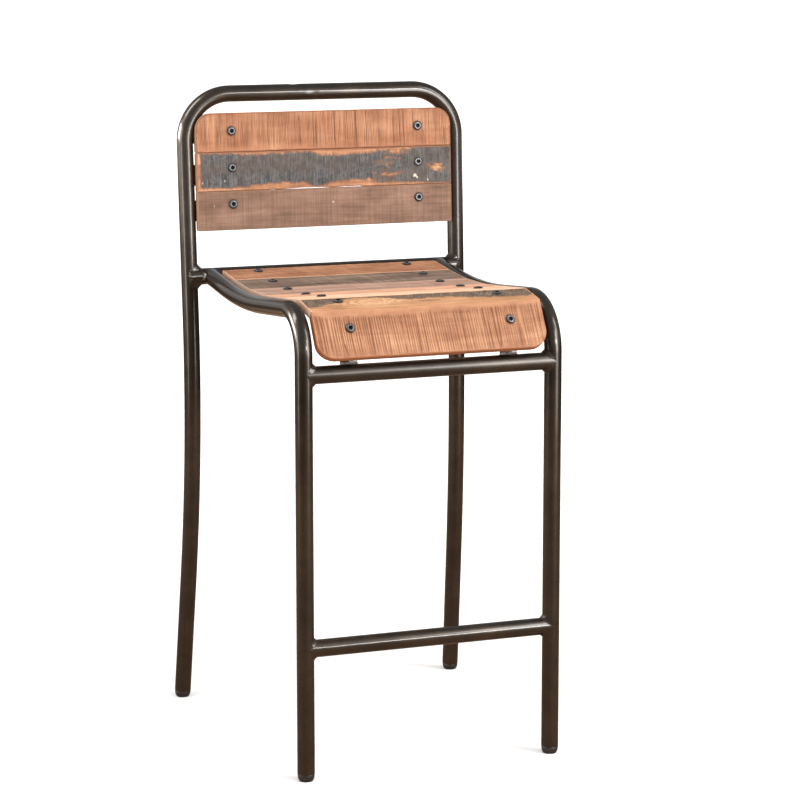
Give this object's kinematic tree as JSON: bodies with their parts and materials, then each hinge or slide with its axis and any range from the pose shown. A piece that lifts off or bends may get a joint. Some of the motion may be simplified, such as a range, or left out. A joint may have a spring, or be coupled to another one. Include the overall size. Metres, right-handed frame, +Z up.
{
  "type": "bar stool with footrest",
  "caption": "Counter-height bar stool of bent dark steel tube with a back arch, a dished plank seat that curves down in front, a plank backrest and a tube footrest.",
  "frame": {"origin": "on the floor under the middle of the stool's bounding box", "axes": "+Z up; -Y to the front, where the footrest and the front plank are; +X to the right for someone who stands in front of the stool and looks at it"},
  "size_m": [0.4824, 0.524, 0.9647],
  "materials": {
    "frame_lacquer": "dark brown-black satin lacquer over steel tube, with long soft highlights",
    "bar_steel": "mill-finish flat bar, lightly lacquered, dull",
    "screw_steel": "dark zinc button head screw with a dry sheen",
    "glide_plastic": "moulded black plastic, matt",
    "seat_wood_1": "orange-brown reclaimed hardwood, planed, oiled",
    "seat_wood_2": "grey-brown weathered reclaimed hardwood",
    "seat_wood_3": "pink-brown reclaimed hardwood",
    "seat_wood_4": "light orange reclaimed hardwood",
    "seat_wood_5": "pale orange reclaimed hardwood",
    "seat_wood_6": "weathered grey at the back, worn to orange along the front edge",
    "front_wood": "salmon hardwood with saw kerfs across its face",
    "back_wood_lower": "taupe brown hardwood with a fine cross-hatched saw texture",
    "back_wood_middle": "worn slate grey paint over orange-brown hardwood",
    "back_wood_upper": "salmon orange hardwood with vertical saw marks"
  },
  "bodies": {
    "root": {"back_frame": "frame_lacquer", "side_frame_left": "frame_lacquer", "side_frame_right": "frame_lacquer", "rear_cross_tube": "frame_lacquer", "front_cross_tube": "frame_lacquer", "footrest_tube": "frame_lacquer", "foot_glide_front_left": "glide_plastic", "foot_glide_front_right": "glide_plastic", "foot_glide_rear_left": "glide_plastic", "foot_glide_rear_right": "glide_plastic", "seat_strap_left": "bar_steel", "seat_strap_right": "bar_steel", "seat_plank_1": "seat_wood_1", "seat_plank_2": "seat_wood_2", "seat_plank_3": "seat_wood_3", "seat_plank_4": "seat_wood_4", "seat_plank_5": "seat_wood_5", "seat_plank_6": "seat_wood_6", "front_plank": "front_wood", "back_bar_lower": "bar_steel", "back_plank_lower": "back_wood_lower", "back_bar_middle": "bar_steel", "back_plank_middle": "back_wood_middle", "back_bar_upper": "bar_steel", "back_plank_upper": "back_wood_upper", "screw_seat_1_left": "screw_steel", "screw_seat_1_right": "screw_steel", "screw_seat_2_left": "screw_steel", "screw_seat_2_right": "screw_steel", "screw_seat_3_left": "screw_steel", "screw_seat_3_right": "screw_steel", "screw_seat_4_left": "screw_steel", "screw_seat_4_right": "screw_steel", "screw_seat_5_left": "screw_steel", "screw_seat_5_right": "screw_steel", "screw_seat_6_left": "screw_steel", "screw_seat_6_right": "screw_steel", "screw_front_left": "screw_steel", "screw_front_right": "screw_steel", "screw_back_lower_left": "screw_steel", "screw_back_lower_right": "screw_steel", "screw_back_middle_left": "screw_steel", "screw_back_middle_right": "screw_steel", "screw_back_upper_left": "screw_steel", "screw_back_upper_right": "screw_steel"}
  },
  "joints": []
}
